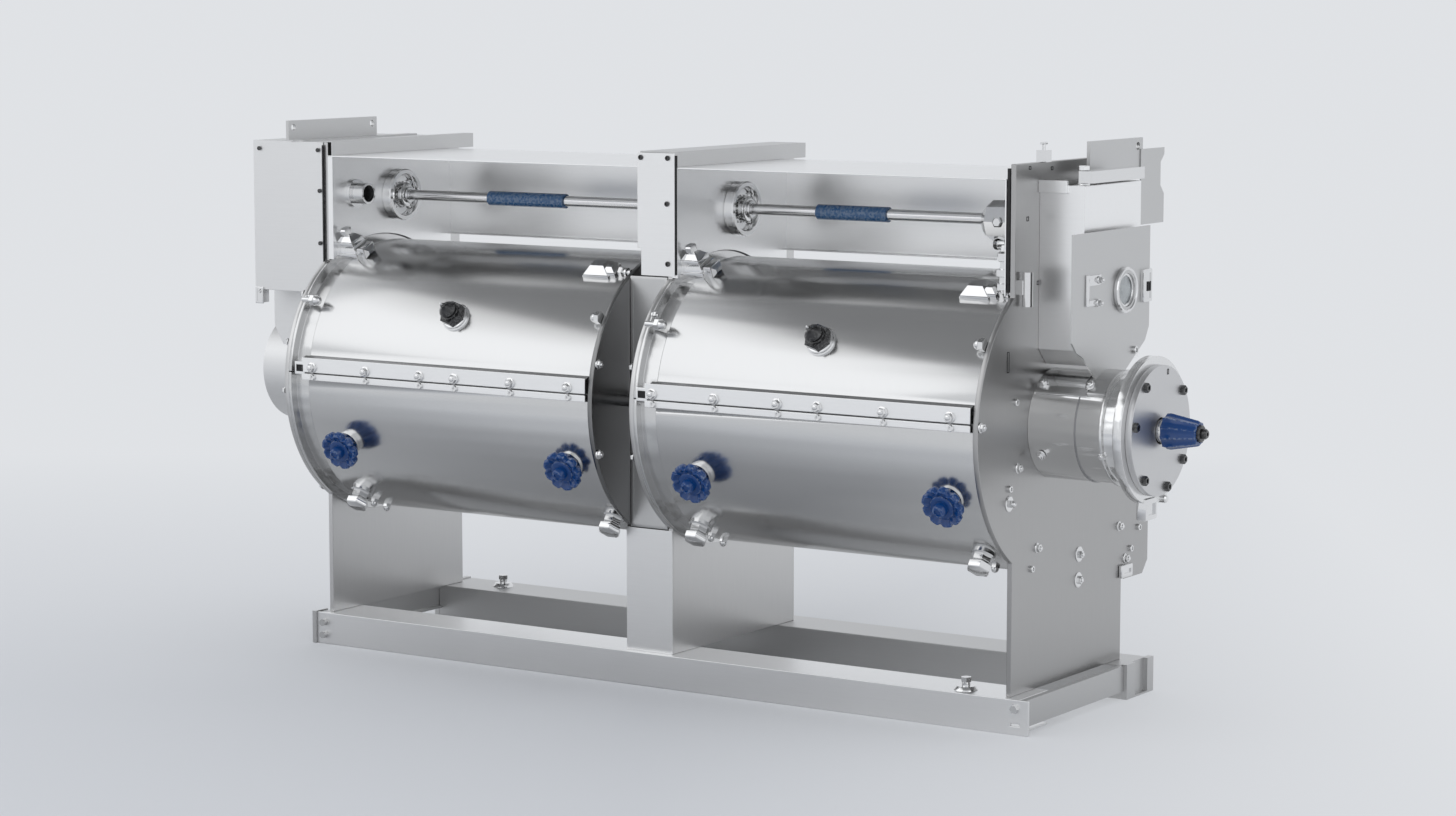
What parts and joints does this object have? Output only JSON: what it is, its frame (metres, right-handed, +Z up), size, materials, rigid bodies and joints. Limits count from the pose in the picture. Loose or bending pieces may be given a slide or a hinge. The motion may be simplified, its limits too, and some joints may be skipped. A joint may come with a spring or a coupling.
{
  "type": "double shaft mixer",
  "caption": "Stainless food mixer: split jacketed drums in line on one paddle shaft, a parallel upper shaft under open hoods, a belt drive case, a feed duct and a channel base.",
  "frame": {"origin": "centre of the rectangle of foot bolts in the base rails, at floor level", "axes": "+X along the shafts to the end with the cone, +Y away from the operator's side, +Z up"},
  "size_m": [2.499, 0.8099, 1.246],
  "materials": {
    "rail_steel": "satin",
    "plate_steel": "satin",
    "panel_steel": "matte satin",
    "drum_steel": "brushed",
    "bright_metal": "polished",
    "blue_plastic": "gloss",
    "black_plastic": "semi gloss",
    "seal_rubber": "matte",
    "belt_rubber": "matte",
    "window_glass": "clear",
    "pulley_metal": "machined"
  },
  "bodies": {
    "machine": {"front_rail": "rail_steel", "rear_rail": "rail_steel", "cross_rails": "rail_steel", "corner_brackets": "rail_steel", "left_end_plate": "plate_steel", "mid_plate_one": "plate_steel", "mid_plate_two": "plate_steel", "right_end_plate": "plate_steel", "belt_guard": "plate_steel", "bearing_tube": "plate_steel", "hood_one": "panel_steel", "hood_two": "panel_steel", "liners": "panel_steel", "centre_post": "panel_steel", "leg_covers": "panel_steel", "cap_channels": "panel_steel", "left_case": "panel_steel", "left_case_cover": "panel_steel", "feed_duct": "panel_steel", "guard_plate": "panel_steel", "rear_upper_panel": "panel_steel", "left_lifting_bar": "panel_steel", "right_lifting_bar": "panel_steel", "discharge_spout": "panel_steel", "drum_one_upper": "drum_steel", "drum_one_lower": "drum_steel", "drum_two_upper": "drum_steel", "drum_two_lower": "drum_steel", "cover_disc": "drum_steel", "disc_spacers": "bright_metal", "hold_down_clamps": "bright_metal", "band_bolts": "bright_metal", "port_stems": "bright_metal", "top_fittings": "bright_metal", "drain_plugs": "bright_metal", "flange_bearings": "bright_metal", "right_bearing_block": "bright_metal", "small_fittings": "bright_metal", "rotor_bearings": "bright_metal", "sensor_glands": "black_plastic", "cover_bolts": "black_plastic", "case_screws": "black_plastic", "split_gaskets": "seal_rubber", "shaft_seals": "seal_rubber", "drive_belt": "belt_rubber", "sight_glass": "window_glass"},
    "rotor": {"rotor_shaft": "drum_steel", "paddles_one": "drum_steel", "paddles_two": "drum_steel", "lower_pulley": "pulley_metal", "cone_knob": "blue_plastic", "cone_tip": "black_plastic"},
    "upper_line": {"upper_shaft": "drum_steel", "shaft_sleeves": "blue_plastic", "upper_pulley": "pulley_metal"},
    "port_one": {"port_knob_1": "blue_plastic"},
    "port_two": {"port_knob_2": "blue_plastic"},
    "port_three": {"port_knob_3": "blue_plastic"},
    "port_four": {"port_knob_4": "blue_plastic"},
    "latch": {"latch_arm": "bright_metal"}
  },
  "joints": [
    {"name": "rotor_turn", "type": "hinge", "parent": "machine", "child": "rotor", "pos_m": [0, -0.076, 0.64], "axis": [1, 0, 0], "continuous": true},
    {"name": "upper_shaft_turn", "type": "hinge", "parent": "machine", "child": "upper_line", "pos_m": [0, -0.01, 1.063], "axis": [1, 0, 0], "continuous": true},
    {"name": "port_one_turn", "type": "hinge", "parent": "machine", "child": "port_one", "pos_m": [-0.783, -0.38994, 0.49693], "axis": [0, -0.91, -0.4147], "range_deg": [0, 90]},
    {"name": "port_two_turn", "type": "hinge", "parent": "machine", "child": "port_two", "pos_m": [-0.145, -0.38994, 0.49693], "axis": [0, -0.91, -0.4147], "range_deg": [0, 90]},
    {"name": "port_three_turn", "type": "hinge", "parent": "machine", "child": "port_three", "pos_m": [0.199, -0.38994, 0.49693], "axis": [0, -0.91, -0.4147], "range_deg": [0, 90]},
    {"name": "port_four_turn", "type": "hinge", "parent": "machine", "child": "port_four", "pos_m": [0.827, -0.38994, 0.49693], "axis": [0, -0.91, -0.4147], "range_deg": [0, 90]},
    {"name": "latch_swing", "type": "hinge", "parent": "machine", "child": "latch", "pos_m": [1.002, -0.124, 1.16], "axis": [0, 0, 1], "range_deg": [-90, 0]}
  ],
  "couplings": [
    {"joint": "upper_shaft_turn", "follows": "rotor_turn", "ratio": 2}
  ]
}
